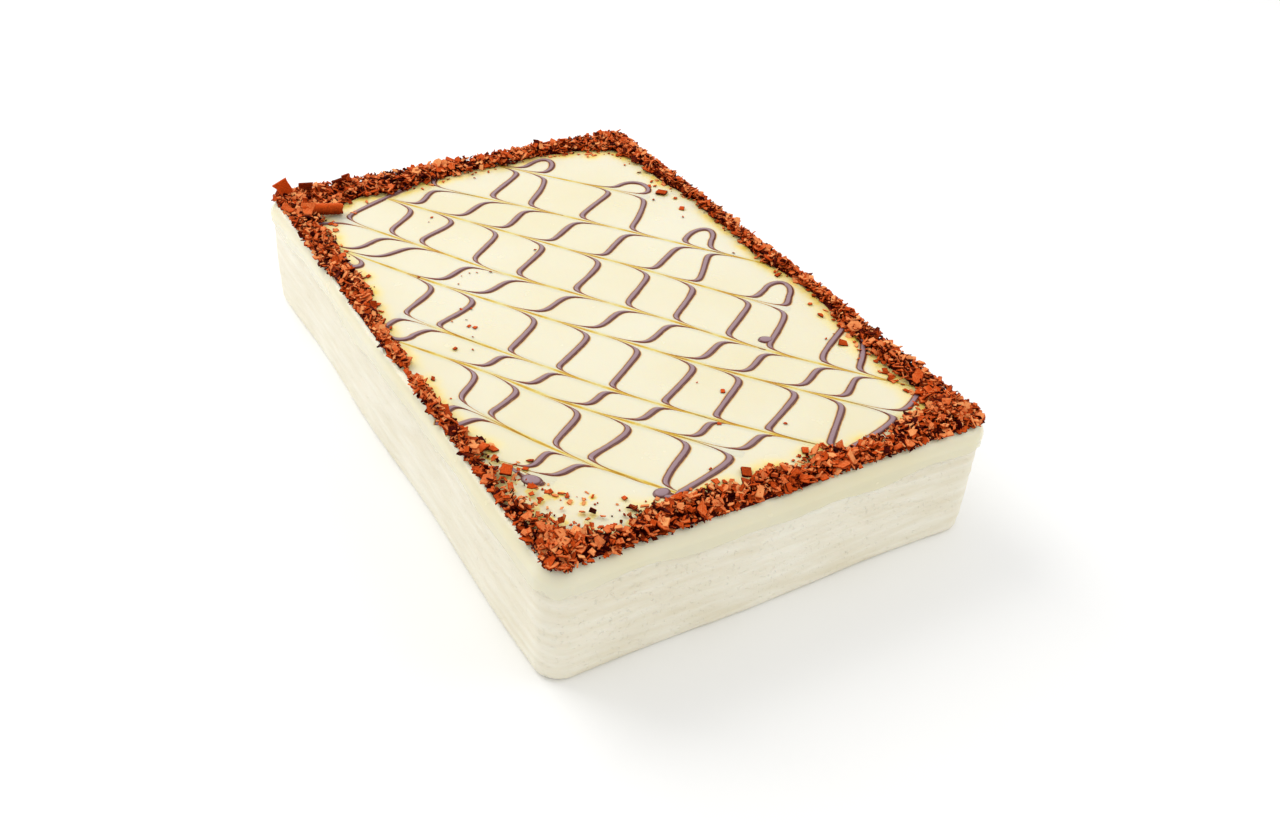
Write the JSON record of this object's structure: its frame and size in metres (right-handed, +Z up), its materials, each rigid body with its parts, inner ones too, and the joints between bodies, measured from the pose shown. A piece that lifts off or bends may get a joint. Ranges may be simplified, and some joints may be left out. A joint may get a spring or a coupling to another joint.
{
  "type": "marble cake",
  "caption": "Uncut rectangular sheet cake with pale poured icing, feathered chocolate lines and a border of chocolate flakes.",
  "frame": {"origin": "centre of the cake's flat underside, in the middle of its bounding box", "axes": "+Z up, +Y along the cake's long side, +X along its short side"},
  "size_m": [0.2998, 0.452, 0.0997],
  "materials": {
    "cream": "spread whipped cream, off-white, satin, with soft ripples from a palette knife",
    "icing": "poured pale yellow icing, smooth and glossy, with feathered dark chocolate lines and reddish-brown flakes along the edge",
    "chocolate": "shaved milk chocolate, reddish brown, matte with a soft sheen and fine scrape marks"
  },
  "bodies": {
    "root": {"cake_body": "cream", "icing": "icing", "chocolate_curl": "chocolate"}
  },
  "joints": []
}
